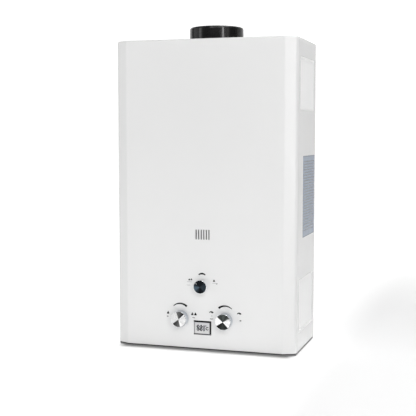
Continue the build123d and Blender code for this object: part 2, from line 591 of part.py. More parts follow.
with BuildPart() as gas_riser:
    block(-52, -28, VAL_Y - 12, VAL_Y + 12, 72, 76)
    fillet(gas_riser.edges().filter_by(Axis.Z), 4)
    rod_z(7, 75, MAN_Z - MAN_H / 2, -40, VAL_Y)
    rod_z(6, 71, MAN_Z, -40, VAL_Y, Mode.SUBTRACT)
save(gas_riser, "gas_riser")

# pipe fittings that hang in the bay under the tray floor
for fname, (fx, fy), top in (
    ("gas_inlet_fitting", GAS_IN, 37.0), ("water_inlet_fitting", COLD_IN, 37.0), ("hot_outlet_fitting", HOT_OUT, 36.0),
):
    with BuildPart() as fitting:
        rod_z(THREAD_R, 4, 25, fx, fy)
        chamfer(fitting.faces().sort_by(Axis.Z)[0].edges(), 1.0)
        with BuildSketch(Plane.XY.offset(23.8)):
            with Locations((fx, fy)):
                RegularPolygon(13.5, 6, major_radius=False)
        extrude(amount=5.0)
        rod_z(8.0, 28, top, fx, fy)
        rod_z(6.0, 3, top + 1, fx, fy, Mode.SUBTRACT)
    save(fitting, fname)

# ----------------------------------------------------------------------------
# Water side
# ----------------------------------------------------------------------------
PCD = 18.5
VSCREWS = [(VAL_Y + PCD * cos(radians(a)), VAL_Z + PCD * sin(radians(a))) for a in (45, 135, 225, 315)]

with BuildPart() as water_valve_body:
    rod_x(21, 18.5, 28, VAL_Y, VAL_Z)
    block(26, 72, -44, -12, 34, 70)
    block(50, 70, -13, 8, 34, 56)
    rod_z(12, TRAY_Z, 35, *COLD_IN)
    rod_z(8, TRAY_Z, 35, *DRAIN)
    rod_y(9, -54, -43, WATER_X, KNOB_Z)
    # diaphragm chamber and passages
    rod_x(16, 17, 24, VAL_Y, VAL_Z, Mode.SUBTRACT)
    rod_x(6, 23, 66, VAL_Y, VAL_Z, Mode.SUBTRACT)
    rod_z(8.1, TRAY_Z - 1, VAL_Z, *COLD_IN, Mode.SUBTRACT)
    rod_z(6, VAL_Z, 72, 58, VAL_Y, Mode.SUBTRACT)
    rod_z(4.2, TRAY_Z - 1, 48, *DRAIN, Mode.SUBTRACT)
    rod_y(3, VAL_Y + 4, DRAIN[1] + 1, DRAIN[0], 48, Mode.SUBTRACT)
    rod_y(SPINDLE_R + 0.07, -55, -36.3, WATER_X, KNOB_Z, Mode.SUBTRACT)
    for y, z in VSCREWS:
        rod_x(1.8, 17, 25.5, y, z, Mode.SUBTRACT)
save(water_valve_body, "water_valve_body")

with BuildPart() as water_valve_cover:
    rod_x(21, 6.5, 17.5, VAL_Y, VAL_Z)
    rod_x(7, 0, 7, VAL_Y, VAL_Z)
    rod_x(16, 9.5, 19, VAL_Y, VAL_Z, Mode.SUBTRACT)
    rod_x(ROD_BORE, -1, 10, VAL_Y, VAL_Z, Mode.SUBTRACT)
    for y, z in VSCREWS:
        rod_x(1.8, 5, 19, y, z, Mode.SUBTRACT)
save(water_valve_cover, "water_valve_cover")

with BuildPart() as valve_diaphragm:
    rod_x(20.8, 17.5, 18.5, VAL_Y, VAL_Z)
    for y, z in VSCREWS:
        rod_x(1.8, 17, 19, y, z, Mode.SUBTRACT)
save(valve_diaphragm, "valve_diaphragm")

with BuildPart() as valve_screws:
    for y, z in VSCREWS:
        rod_x(1.6, 6.5, 25, y, z)
        rod_x(2.6, 4.5, 6.5, y, z)
        with BuildSketch(Plane((4.5, y, z), x_dir=(0, 1, 0), z_dir=(1, 0, 0))):
            RegularPolygon(1.3, 6)
        extrude(amount=1.2, mode=Mode.SUBTRACT)
save(valve_screws, "valve_screws")

# rod that the diaphragm pushes to the left to open the gas disc
with BuildPart() as push_rod:
    rod_x(9, -46, -43.1, VAL_Y, VAL_Z)
    rod_x(ROD_R, -44, 16, VAL_Y, VAL_Z)
    rod_x(6, -5, -2, VAL_Y, VAL_Z)
    rod_x(12, 15.3, 17.3, VAL_Y, VAL_Z)
save(push_rod, "push_rod")

with BuildPart() as valve_spring:
    with BuildLine() as spring_line:
        Helix(pitch=3.8, height=18.2, radius=6.0, center=(-65.1, VAL_Y, VAL_Z), direction=(1, 0, 0))
    with BuildSketch(Plane(origin=spring_line.line @ 0, z_dir=spring_line.line % 0)):
        RegularPolygon(0.6, 8)
    sweep(path=spring_line.line, is_frenet=True)
save(valve_spring, "valve_spring")

LEVER_X, LEVER_Z = -6.3, 66.0

with BuildPart() as micro_switch:
    block(-14, 5, -31, -24, 69, 80)
    fillet(micro_switch.edges().filter_by(Axis.Y), 1)
    for y0, y1 in ((-31.0, -29.6), (-25.4, -24.0)):
        block(LEVER_X - 2.6, LEVER_X + 2.6, y0, y1, LEVER_Z - 2.6, 69.5)
    rod_y(1.06, -32, -23, LEVER_X, LEVER_Z, Mode.SUBTRACT)
    for x in (-11.0, -4.5, 2.0):
        block(x - 1.2, x + 1.2, -27.8, -27.2, 80, 86)
save(micro_switch, "micro_switch")

with BuildPart() as switch_lever:
    rod_y(1.9, -29.4, -25.6, LEVER_X, LEVER_Z)
    block(LEVER_X - 0.7, LEVER_X + 0.7, -29.4, -25.6, 55.6, LEVER_Z)
    rod_y(1.0, -30.9, -24.2, LEVER_X, LEVER_Z)
save(switch_lever, "switch_lever")

with BuildPart() as cold_pipe:
    with BuildLine() as cold_line:
        FilletPolyline((58, -28, 70), (58, -28, 88), (112, -28, 88), (112, -28, 180), radius=14)
    with BuildSketch(Plane((58, -28, 70), x_dir=(1, 0, 0), z_dir=(0, 0, 1))):
        Circle(TUBE_R)
        Circle(TUBE_R - 1, mode=Mode.SUBTRACT)
    sweep(path=cold_line.line)
save(cold_pipe, "cold_pipe")

with BuildPart() as hot_pipe:
    with BuildLine() as hot_line:
        FilletPolyline(
            (HOT_OUT[0], HOT_OUT[1], 36), (HOT_OUT[0], HOT_OUT[1], 95), (-127, TUBE_Y[4], 130),
            (-127, TUBE_Y[4], TUBE_Z), (-ST_X - 6, TUBE_Y[4], TUBE_Z), radius=[20, 20, 14],
        )
    with BuildSketch(Plane((HOT_OUT[0], HOT_OUT[1], 36), x_dir=(1, 0, 0), z_dir=(0, 0, 1))):
        Circle(TUBE_R)
        Circle(TUBE_R - 1, mode=Mode.SUBTRACT)
    sweep(path=hot_line.line)
save(hot_pipe, "hot_pipe")

# quarter-turn drain plug with a wing handle
with BuildPart() as drain_plug:
    rod_z(4.13, 26, 45, *DRAIN)
    rod_z(5.8, 20, 27, *DRAIN)
    with Locations((*DRAIN, 14.5)):
        Box(21, 3.6, 12)
    fillet(drain_plug.edges().filter_by(Axis.Y), 3)
    rod_z(4.6, 9, 22, *DRAIN)
save(drain_plug, "drain_plug")

with BuildPart() as overheat_thermostat:
    rod_x(9, -104, -ST_X, FLUE_Y, 281)
    rod_x(7, -112, -103, FLUE_Y, 281)
    for y in (-3.0, 3.0):
        block(-119, -111, FLUE_Y + y - 0.4, FLUE_Y + y + 0.4, 278.5, 283.5)
save(overheat_thermostat, "overheat_thermostat")

with BuildPart() as temp_probe:
    rod_z(10.5, 52, 66, *HOT_OUT)
    block(HOT_OUT[0] - 4, HOT_OUT[0] + 4, HOT_OUT[1] - 18, HOT_OUT[1] - 8, 54, 64)
    rod_z(TUBE_R + 0.06, 50, 68, *HOT_OUT, Mode.SUBTRACT)
save(temp_probe, "temp_probe")

# ----------------------------------------------------------------------------
# Electrics
# ----------------------------------------------------------------------------
with BuildPart() as igniter_box:
    block(-157, -107, 64, Y_PLATE, 60, 130)
    fillet(igniter_box.edges().filter_by(Axis.Z), 3)
    for x in (-146.0, -118.0):
        rod_z(4, 129, 140, x, 76)
    block(-140, -124, 70, 82, 54, 61)
save(igniter_box, "igniter_box")

with BuildPart() as battery_box:
    block(BAT_X0, BAT_X1, BAT_Y0, BAT_Y1, 27, BAT_TOP)
    block(BAT_X0 - 3, BAT_X1 + 1.5, BAT_Y0 - 4, BAT_Y1 + 1.5, TRAY_Z, TRAY_Z + 2)
    block(BAT_X0 + 2, BAT_X1 - 2, BAT_Y0 + 2, BAT_Y1 - 2, 20, BAT_TOP - 2, Mode.SUBTRACT)
    # holes for the door's hinge pins
    rod_x(1.57, BAT_X0 - 1, BAT_X1 + 1, DOOR_Y, DOOR_Z, Mode.SUBTRACT)
save(battery_box, "battery_box")

with BuildPart() as battery_door:
    block(BAT_X0 + 2.4, BAT_X1 - 2.4, BAT_Y0 + 2.5, BAT_Y1 - 2.4, DOOR_Z - 1, DOOR_Z + 1)
    rod_x(1.5, BAT_X0 + 0.4, BAT_X1 - 0.4, DOOR_Y, DOOR_Z)
    block(105, 125, BAT_Y0 + 4, BAT_Y0 + 7, DOOR_Z - 2.4, DOOR_Z - 0.9)
save(battery_door, "battery_door")

with BuildPart() as batteries:
    for x in (97.7, 132.3):
        rod_z(16.6, 47, 105.5, x, (BAT_Y0 + BAT_Y1) / 2)
        rod_z(4.8, 105, 108.5, x, (BAT_Y0 + BAT_Y1) / 2)
save(batteries, "batteries")

# ----------------------------------------------------------------------------
# Casing screws: two under the cover, two on top, four in the collar's flange
# ----------------------------------------------------------------------------
with BuildPart() as casing_screws:
    for x, y in SCREW_BOTTOM:
        rod_z(1.7, SKIRT_GAP - 1, SKIRT_GAP + 7, x, y)
        rod_z(3.6, SKIRT_GAP - 2, SKIRT_GAP, x, y)
        block(x - 0.4, x + 0.4, y - 2.4, y + 2.4, SKIRT_GAP - 3, SKIRT_GAP - 1.2, Mode.SUBTRACT)
    for x, y in SCREW_TOP + SCREW_COLLAR:
        rod_z(1.7, CASE_H - 7, CASE_H + 1, x, y)
        rod_z(3.6, CASE_H, CASE_H + 2, x, y)
        block(x - 0.4, x + 0.4, y - 2.4, y + 2.4, CASE_H + 1.2, CASE_H + 3, Mode.SUBTRACT)
save(casing_screws, "casing_screws")
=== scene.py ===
import json
import math

import bmesh
import bpy
from mathutils import Matrix, Vector


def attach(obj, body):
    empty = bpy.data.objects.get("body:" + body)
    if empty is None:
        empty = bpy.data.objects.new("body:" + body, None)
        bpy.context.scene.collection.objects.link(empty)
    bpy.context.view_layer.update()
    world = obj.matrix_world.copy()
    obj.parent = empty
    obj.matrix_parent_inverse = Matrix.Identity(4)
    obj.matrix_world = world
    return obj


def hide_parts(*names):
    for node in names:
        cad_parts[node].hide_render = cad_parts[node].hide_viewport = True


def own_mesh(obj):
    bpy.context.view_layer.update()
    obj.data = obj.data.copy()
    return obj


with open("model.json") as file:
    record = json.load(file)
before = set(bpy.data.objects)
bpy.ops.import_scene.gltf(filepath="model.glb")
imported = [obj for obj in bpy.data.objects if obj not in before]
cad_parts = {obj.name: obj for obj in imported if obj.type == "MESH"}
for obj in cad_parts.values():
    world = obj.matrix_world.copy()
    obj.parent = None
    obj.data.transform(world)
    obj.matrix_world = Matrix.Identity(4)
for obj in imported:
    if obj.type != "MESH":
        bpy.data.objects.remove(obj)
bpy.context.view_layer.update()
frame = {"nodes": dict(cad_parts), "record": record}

NODES = frame["nodes"]
MM = 0.001

# ----------------------------------------------------------------------------
# Dimensions repeated from the CAD model, in millimetres
# ----------------------------------------------------------------------------
Y_FRONT = -76.0
X_SIDE = 170.0
SEASON = (-3.2, 119.3, 12.6)
GAS = (-43.1, 58.2, 14.8)
WATER = (40.8, 58.2, 14.8)
SEASON_TIP, KNOB_TIP = -87.5, -90.0
WIN_X, WIN_Z = -1.6, 42.6
WIN_W, WIN_H = 33.6, 26.2
LCD_Y = -78.0
LCD_W, LCD_H = 28.0, 20.6
STICK_Y, STICK_Z = (-19.0, 85.0), (207.0, 355.0)

# ----------------------------------------------------------------------------
# Node helpers
# ----------------------------------------------------------------------------


class Mat:
    """A Principled material with helpers for procedural detail in object space."""

    def __init__(self, name, color, rough, metal=0.0, spec=0.5, **sockets):
        self.m = bpy.data.materials.new(name)
        self.m.use_nodes = True
        self.nt = self.m.node_tree
        self.b = self.nt.nodes["Principled BSDF"]
        self.b.inputs["Base Color"].default_value = (*color, 1)
        self.b.inputs["Roughness"].default_value = rough
        self.b.inputs["Metallic"].default_value = metal
        self.b.inputs["Specular IOR Level"].default_value = spec
        for k, v in sockets.items():
            self.b.inputs[k.replace("_", " ")].default_value = v
        self.m.diffuse_color = (*color, 1)
        self.coord = None

    def node(self, kind, **props):
        n = self.nt.nodes.new(kind)
        for k, v in props.items():
            setattr(n, k, v)
        return n

    def link(self, a, b):
        self.nt.links.new(a, b)

    def obj(self):
        if self.coord is None:
            self.coord = self.node("ShaderNodeTexCoord")
        return self.coord.outputs["Object"]

    def mapped(self, scale=(1, 1, 1), offset=(0, 0, 0), rot=(0, 0, 0)):
        mp = self.node("ShaderNodeMapping")
        mp.inputs["Scale"].default_value = scale
        mp.inputs["Location"].default_value = offset
        mp.inputs["Rotation"].default_value = rot
        self.link(self.obj(), mp.inputs["Vector"])
        return mp.outputs["Vector"]

    def noise(self, scale, detail=4.0, rough=0.55, vec=None, distortion=0.0):
        n = self.node("ShaderNodeTexNoise")
        n.inputs["Scale"].default_value = scale
        n.inputs["Detail"].default_value = detail
        n.inputs["Roughness"].default_value = rough
        n.inputs["Distortion"].default_value = distortion
        self.link(vec if vec is not None else self.obj(), n.inputs["Vector"])
        return n.outputs["Fac"]

    def ramp(self, fac, stops, interp="LINEAR"):
        r = self.node("ShaderNodeValToRGB")
        r.color_ramp.interpolation = interp
        e = r.color_ramp.elements
        while len(e) < len(stops):
            e.new(0.5)
        for el, (pos, col) in zip(e, stops):
            el.position = pos
            el.color = (*col, 1) if len(col) == 3 else col
        self.link(fac, r.inputs["Fac"])
        return r.outputs["Color"]

    def math(self, op, a, b=None, clamp=False):
        n = self.node("ShaderNodeMath", operation=op, use_clamp=clamp)
        for i, v in enumerate((a, b)):
            if v is None:
                continue
            if isinstance(v, (int, float)):
                n.inputs[i].default_value = v
            else:
                self.link(v, n.inputs[i])
        return n.outputs["Value"]

    def mix(self, fac, a, b, blend="MIX"):
        n = self.node("ShaderNodeMix", data_type="RGBA", blend_type=blend)
        fi, ai, bi = n.inputs[0], n.inputs[6], n.inputs[7]
        for s, v in ((fi, fac), (ai, a), (bi, b)):
            if isinstance(v, (int, float)):
                s.default_value = v
            elif isinstance(v, tuple):
                s.default_value = (*v, 1)
            else:
                self.link(v, s)
        return n.outputs[2]

    def range(self, fac, lo, hi, a=0.0, b=1.0):
        n = self.node("ShaderNodeMapRange")
        n.inputs["From Min"].default_value = a
        n.inputs["From Max"].default_value = b
        n.inputs["To Min"].default_value = lo
        n.inputs["To Max"].default_value = hi
        self.link(fac, n.inputs["Value"])
        return n.outputs["Result"]

    def xyz(self, vec=None):
        s = self.node("ShaderNodeSeparateXYZ")
        self.link(vec if vec is not None else self.obj(), s.inputs["Vector"])
        return s.outputs["X"], s.outputs["Y"], s.outputs["Z"]

    def color(self, out):
        self.link(out, self.b.inputs["Base Color"])

    def rough(self, out):
        self.link(out, self.b.inputs["Roughness"])

    def bump(self, height, strength, distance, below=None):
        n = self.node("ShaderNodeBump")
        n.inputs["Strength"].default_value = strength
        n.inputs["Distance"].default_value = distance
        self.link(height, n.inputs["Height"])
        if below is not None:
            self.link(below, n.inputs["Normal"])
        self.link(n.outputs["Normal"], self.b.inputs["Normal"])
        return n.outputs["Normal"]

    def edge(self, radius):
        """0 on flats, rising towards 1 on convex edges."""
        bev = self.node("ShaderNodeBevel", samples=4)
        bev.inputs["Radius"].default_value = radius
        geo = self.node("ShaderNodeNewGeometry")
        dot = self.node("ShaderNodeVectorMath", operation="DOT_PRODUCT")
        self.link(bev.outputs["Normal"], dot.inputs[0])
        self.link(geo.outputs["Normal"], dot.inputs[1])
        return self.range(dot.outputs["Value"], 1.0, 0.0, 0.80, 0.995)


MATS = {}

# --- white powder coat on the folded cover, with a plain ruled sticker on its right side
w = Mat("white_paint", (0.785, 0.785, 0.783), 0.24, spec=0.5)
coat = w.ramp(w.noise(3.0, 3), [(0.3, (0.772, 0.773, 0.771)), (0.7, (0.796, 0.796, 0.794))])
wx, wy, wz = w.xyz()


def inside(m, value, lo, hi):
    return m.math("MULTIPLY", m.math("GREATER_THAN", value, lo), m.math("LESS_THAN", value, hi))


def field(m, y0, y1, z0, z1):
    box = m.math("MULTIPLY", inside(m, wy, y0 * MM, y1 * MM), inside(m, wz, z0 * MM, z1 * MM))
    return m.math("MULTIPLY", box, m.math("GREATER_THAN", wx, 0.1695))


sticker = field(w, STICK_Y[0], STICK_Y[1], STICK_Z[0], STICK_Z[1])
panel = field(w, STICK_Y[0] + 2, STICK_Y[1] - 2, STICK_Z[0] + 2, STICK_Z[1] - 2)
rule = w.math("GREATER_THAN", w.math("FRACT", w.math("MULTIPLY", wz, 1 / 0.0050)), 0.70)
rows = w.math("MULTIPLY", rule, field(w, STICK_Y[0] + 6, STICK_Y[1] - 6, STICK_Z[0] + 8, STICK_Z[1] - 8))
blue = w.ramp(w.noise(60, 3), [(0.3, (0.220, 0.280, 0.370)), (0.7, (0.265, 0.325, 0.415))])
print_tone = w.mix(rows, blue, (0.075, 0.092, 0.122))
skin = w.mix(panel, w.mix(sticker, coat, (0.16, 0.20, 0.26)), print_tone)
w.color(skin)
w.rough(w.range(w.noise(40, 3), 0.21, 0.27))
w.bump(w.noise(1100, 2.0, 0.5), 0.05, 0.00010)
MATS["white_paint"] = w

# --- galvanised sheet: spangle, faint streaks
z = Mat("zinc_sheet", (0.56, 0.57, 0.58), 0.38, metal=1.0)
v = z.node("ShaderNodeTexVoronoi")
v.inputs["Scale"].default_value = 130
z.link(z.obj(), v.inputs["Vector"])
sep = z.node("ShaderNodeSeparateColor")
z.link(v.outputs["Color"], sep.inputs["Color"])
spangle = sep.outputs["Red"]
z.color(z.ramp(spangle, [(0.0, (0.47, 0.48, 0.50)), (0.5, (0.56, 0.57, 0.585)), (1.0, (0.66, 0.67, 0.68))]))
z.rough(z.range(spangle, 0.30, 0.46))
z.bump(z.noise(260, 3), 0.06, 0.0002)
MATS["zinc_sheet"] = z

# --- black stove enamel on the flue collar
k = Mat("black_paint", (0.006, 0.006, 0.006), 0.27, spec=0.36, Coat_Weight=0.40, Coat_Roughness=0.06)
k.color(k.ramp(k.noise(18, 4), [(0.35, (0.004, 0.004, 0.004)), (0.7, (0.009, 0.009, 0.009))]))
k.rough(k.range(k.noise(60, 4), 0.23, 0.31))
k.bump(k.noise(700, 2), 0.08, 0.00015)
MATS["black_paint"] = k

# --- moulded plastics


def plastic(name, a, b, r0, r1, grain, spec=0.5):
    p = Mat(name, a, (r0 + r1) / 2, spec=spec)
    p.color(p.ramp(p.noise(14, 4), [(0.3, a), (0.7, b)]))
    p.rough(p.range(p.noise(90, 3), r0, r1))
    p.bump(p.noise(grain, 2.5), 0.16, 0.00018)
    MATS[name] = p
    return p


plastic("white_plastic", (0.94, 0.94, 0.938), (0.955, 0.955, 0.953), 0.36, 0.46, 1500)
plastic("black_plastic", (0.010, 0.010, 0.011), (0.018, 0.018, 0.020), 0.22, 0.34, 1300)
plastic("grey_plastic", (0.30, 0.31, 0.32), (0.36, 0.365, 0.37), 0.42, 0.55, 1200)
plastic("blue_plastic", (0.035, 0.13, 0.36), (0.05, 0.17, 0.42), 0.32, 0.44, 1300)
plastic("ceramic", (0.78, 0.76, 0.71), (0.86, 0.84, 0.80), 0.22, 0.36, 500)
plastic("rubber", (0.016, 0.016, 0.016), (0.030, 0.030, 0.030), 0.62, 0.78, 900, 0.35)

# dark edge strip under the cover: painted shade standing for the shadow line under the casing; it turns lighter grey
# towards its foot as a painted fading of that shadow
tr = Mat("dark_trim_painted_shade", (0.05, 0.05, 0.05), 0.62, spec=0.35)
tx, ty, tz = tr.xyz()
shadow_fade = tr.math("ADD", tr.range(tz, 0.0, 1.0, 0.0, 4.6 * MM), tr.range(tr.noise(120, 3), -0.06, 0.06))
tr.color(tr.ramp(shadow_fade, [(0.0, (0.42, 0.42, 0.42)), (0.30, (0.30, 0.30, 0.30)), (0.55, (0.13, 0.13, 0.13)), (0.82, (0.022, 0.022, 0.022))]))
tr.rough(tr.range(tr.noise(90, 3), 0.55, 0.70))
tr.bump(tr.noise(900, 2.5), 0.16, 0.00018)
MATS["dark_trim_painted_shade"] = tr

# --- heat-proof pane behind the slots, coloured dark grey as painted shade for the dark inside seen through the slots
g = Mat("clear_glass", (0.125, 0.125, 0.128), 0.30, spec=0.5, Transmission_Weight=0.25, IOR=1.5)
g.color(g.ramp(g.noise(60, 5), [(0.3, (0.105, 0.105, 0.108)), (0.7, (0.145, 0.145, 0.148))]))
g.rough(g.range(g.noise(25, 5), 0.22, 0.36))
MATS["clear_glass"] = g

# --- metals with fine tool marks


def metal(name, a, b, r0, r1, stretch=(1, 1, 1), grain=900, strength=0.06, patch=22):
    p = Mat(name, a, (r0 + r1) / 2, metal=1.0)
    p.color(p.ramp(p.noise(patch, 5, 0.6), [(0.3, a), (0.7, b)]))
    line = p.noise(grain, 3, 0.6, p.mapped(stretch))
    p.rough(p.range(line, r0, r1))
    p.bump(line, strength, 0.0001)
    MATS[name] = p
    return p


metal("steel", (0.50, 0.51, 0.52), (0.62, 0.62, 0.62), 0.24, 0.40, (1, 1, 0.2))
metal("brass", (0.66, 0.47, 0.17), (0.78, 0.58, 0.26), 0.22, 0.36, (0.2, 0.2, 1))
metal("die_cast", (0.44, 0.45, 0.46), (0.55, 0.555, 0.56), 0.42, 0.58, grain=650, strength=0.22)

# copper, browned where it is hot
c = Mat("copper", (0.72, 0.34, 0.20), 0.28, metal=1.0)
stain = c.noise(16, 6, 0.62)
c.color(c.ramp(stain, [(0.25, (0.32, 0.13, 0.075)), (0.48, (0.66, 0.30, 0.17)), (0.75, (0.80, 0.42, 0.27))]))
c.rough(c.range(stain, 0.46, 0.22))
c.bump(c.noise(420, 3), 0.08, 0.0002)
MATS["copper"] = c

# --- display: pale reflective liquid-crystal panel
lcd = Mat("lcd_grey", (0.62, 0.62, 0.62), 0.30, spec=0.4)
x, y, zz = lcd.xyz()
# painted shade: the panel is darker and bluer towards its top
shade = lcd.range(zz, 0.0, 1.0, (WIN_Z - 11) * MM, (WIN_Z + 11) * MM)
tone = lcd.ramp(shade, [(0.0, (0.66, 0.66, 0.655)), (0.7, (0.62, 0.62, 0.625)), (1.0, (0.56, 0.555, 0.59))])
lcd.color(lcd.mix(lcd.math("MULTIPLY", lcd.noise(900, 2), 0.10), tone, (0.45, 0.45, 0.46)))
MATS["lcd_grey"] = lcd

# --- circuit board: solder mask with traces
pcb = Mat("circuit_board", (0.03, 0.16, 0.07), 0.35, spec=0.5)
br = pcb.node("ShaderNodeTexBrick")
br.inputs["Color1"].default_value = (0.022, 0.13, 0.055, 1)
br.inputs["Color2"].default_value = (0.028, 0.15, 0.065, 1)
br.inputs["Mortar"].default_value = (0.06, 0.28, 0.13, 1)
br.inputs["Scale"].default_value = 260
br.inputs["Mortar Size"].default_value = 0.02
pcb.link(pcb.mapped(rot=(math.pi / 2, 0, 0)), br.inputs["Vector"])
pcb.color(br.outputs["Color"])
pcb.rough(pcb.range(pcb.noise(120, 3), 0.28, 0.42))
MATS["circuit_board"] = pcb

# --- battery cells: coloured jacket with a bare metal end
cell = Mat("cell_jacket", (0.05, 0.05, 0.055), 0.32, spec=0.5)
cx, cy, cz = cell.xyz()
cell.color(cell.mix(cell.math("GREATER_THAN", cz, 0.088), cell.ramp(cell.noise(40, 3), [(0.3, (0.016, 0.017, 0.02)), (0.7, (0.030, 0.031, 0.034))]), (0.50, 0.27, 0.07)))
cell.rough(cell.range(cell.noise(80, 3), 0.26, 0.40))
MATS["cell_jacket"] = cell


def spun(name, centre, dark, light, stops, rough=0.26, metal=1.0):
    """Turned metal face: fine concentric rings under painted reflections, which are light and dark fans running out
    from the centre.
    """
    p = Mat(name, light, rough, metal=metal)
    vec = p.mapped(offset=(-centre[0] * MM, 0, -centre[1] * MM))
    px, py, pz = p.xyz(vec)
    ang = p.math("ARCTAN2", px, pz)                     # 0 straight up, growing clockwise from the front
    turn = p.math("MULTIPLY_ADD", ang, 1 / (2 * math.pi))
    turn_node = turn.node
    turn_node.inputs[2].default_value = 0.5             # straight up at 0.5
    r = p.math("SQRT", p.math("ADD", p.math("MULTIPLY", px, px), p.math("MULTIPLY", pz, pz)))
    painted_reflection_fan = p.ramp(turn, stops, "EASE")
    rings = p.node("ShaderNodeTexWave", wave_type="RINGS", rings_direction="Y", wave_profile="SIN")
    rings.inputs["Scale"].default_value = 900
    rings.inputs["Distortion"].default_value = 1.5
    rings.inputs["Detail"].default_value = 2
    p.link(vec, rings.inputs["Vector"])
    p.color(p.mix(p.range(rings.outputs["Fac"], 0.0, 0.10), painted_reflection_fan, dark))
    p.rough(p.range(rings.outputs["Fac"], rough - 0.05, rough + 0.07))
    p.bump(rings.outputs["Fac"], 0.10, 0.00006)
    MATS[name] = p
    return p


def grey(level, tint=(1, 1, 1)):
    """Linear colour of a screen grey level between 0 and 255."""
    v = ((level / 255 + 0.055) / 1.055) ** 2.4
    return tuple(v * t for t in tint)


# the fan stops below are painted reflections: light and dark sectors standing in for the lamps mirrored in the turned
# faces
KW, KG, KH = (0.97, 0.97, 0.97), (0.72, 0.72, 0.72), (0.82, 0.82, 0.825)
GREENISH = (0.90, 1.0, 0.95)
# turn value = 0.5 + degrees clockwise from the top / 360
GAS_PAINTED_REFLECTION = [(0.0, 100), (0.07, 75), (0.135, 55), (0.158, KG), (0.44, KG), (0.462, 105), (0.52, 90), (0.60, 52), (0.622, 50), (0.64, KH), (0.70, KG), (0.78, KH), (0.86, KG), (0.955, KW), (0.975, 115), (1.0, 100)]
WATER_PAINTED_REFLECTION = [(0.0, 60), (0.10, 38), (0.150, 28), (0.172, KW), (0.352, KW), (0.375, 60), (0.45, 62), (0.52, 85), (0.60, 60), (0.645, 80), (0.685, KG), (0.74, KW), (0.80, KH), (0.865, KW), (0.885, 28), (0.93, 48), (1.0, 60)]
spun("spun_metal_gas_painted_reflection", GAS, (0.02, 0.02, 0.02), KG, [(t, c if isinstance(c, tuple) else grey(c)) for t, c in GAS_PAINTED_REFLECTION])
spun("spun_metal_water_painted_reflection", WATER, (0.02, 0.02, 0.02), KW, [(t, c if isinstance(c, tuple) else grey(c, GREENISH)) for t, c in WATER_PAINTED_REFLECTION])
# painted reflections on the dark season face: blue-grey fans on near-black
D0, D1, D2 = (0.010, 0.012, 0.015), (0.032, 0.042, 0.052), (0.075, 0.110, 0.145)
SEASON_PAINTED_REFLECTION = [(0.0, D0), (0.10, D1), (0.17, D2), (0.24, D2), (0.29, D1), (0.36, D0), (0.60, D0), (0.70, D1), (0.84, D1), (0.92, D0), (1.0, D0)]
spun("dark_spun", SEASON, (0.01, 0.01, 0.012), D1, SEASON_PAINTED_REFLECTION, rough=0.30)


def polished(name, a, b, r0, r1, rim=None, centre=None):
    """Plated body with faint turning lines around the knob; its flank can take a duller colour than its front rim as
    a painted reflection, and the rim is greyer at the lower right as a painted shadow."""
    p = Mat(name, a, (r0 + r1) / 2, metal=1.0)
    line = p.noise(700, 2, 0.5, p.mapped((0.02, 1, 0.02)))
    tone = p.ramp(p.noise(60, 4), [(0.3, a), (0.7, b)])
    if rim is not None:
        depth, flank = rim
        px, py, pz = p.xyz(p.mapped(offset=(-centre[0] * MM, 0, -centre[1] * MM)))
        turn = p.range(p.math("ARCTAN2", px, pz), 0.0, 1.0, -math.pi, math.pi)
        # painted shadow: the rim turns grey from the right round to the lower right
        tone = p.mix(p.ramp(turn, [(0.0, (0, 0, 0)), (0.72, (0, 0, 0)), (0.80, (1, 1, 1)), (0.95, (1, 1, 1)), (1.0, (0, 0, 0))], "EASE"), tone, (0.26, 0.27, 0.28))
        # painted reflection: the flank behind the front rim takes the duller grey-blue colour
        tone = p.mix(p.range(py, 0.0, 1.0, (depth - 0.2) * MM, (depth + 0.4) * MM), tone, flank)
    p.color(tone)
    p.rough(p.range(line, r0, r1))
    p.bump(line, 0.05, 0.00005)
    MATS[name] = p


for kname, kc in (("chrome_gas", GAS), ("chrome_water", WATER)):
    # the grey-blue flank colour passed here is a painted reflection
    polished(kname, (0.90, 0.915, 0.94), (0.95, 0.96, 0.98), 0.07, 0.14, (KNOB_TIP + 1.6, (0.58, 0.615, 0.665)), kc)
polished("dark_chrome", (0.90, 0.91, 0.93), (0.96, 0.965, 0.98), 0.06, 0.12)

# --- display frame: glossy black, with painted reflections on its slopes: pale silver grey on the left slope and grey on the lower one
bz = Mat("bezel_gloss", (0.012, 0.012, 0.013), 0.16, spec=0.3)
bx, by, bzz = bz.xyz()
left_slope = bz.math("LESS_THAN", bx, (WIN_X - LCD_W / 2 - 0.35) * MM)
left_slope = bz.math("MULTIPLY", left_slope, inside(bz, bzz, (WIN_Z - LCD_H / 2 - 0.2) * MM, (WIN_Z + LCD_H / 2 + 0.3) * MM))
low_slope = bz.math("LESS_THAN", bzz, (WIN_Z - LCD_H / 2 - 0.35) * MM)
jet = bz.ramp(bz.noise(40, 4), [(0.3, (0.008, 0.008, 0.009)), (0.7, (0.016, 0.016, 0.018))])
# painted reflections: pale grey on the left slope, darker grey on the lower slope
bz.color(bz.mix(left_slope, bz.mix(low_slope, jet, (0.115, 0.115, 0.12)), (0.50, 0.50, 0.505)))
bz.rough(bz.range(bz.noise(90, 3), 0.12, 0.22))
MATS["bezel_gloss"] = bz

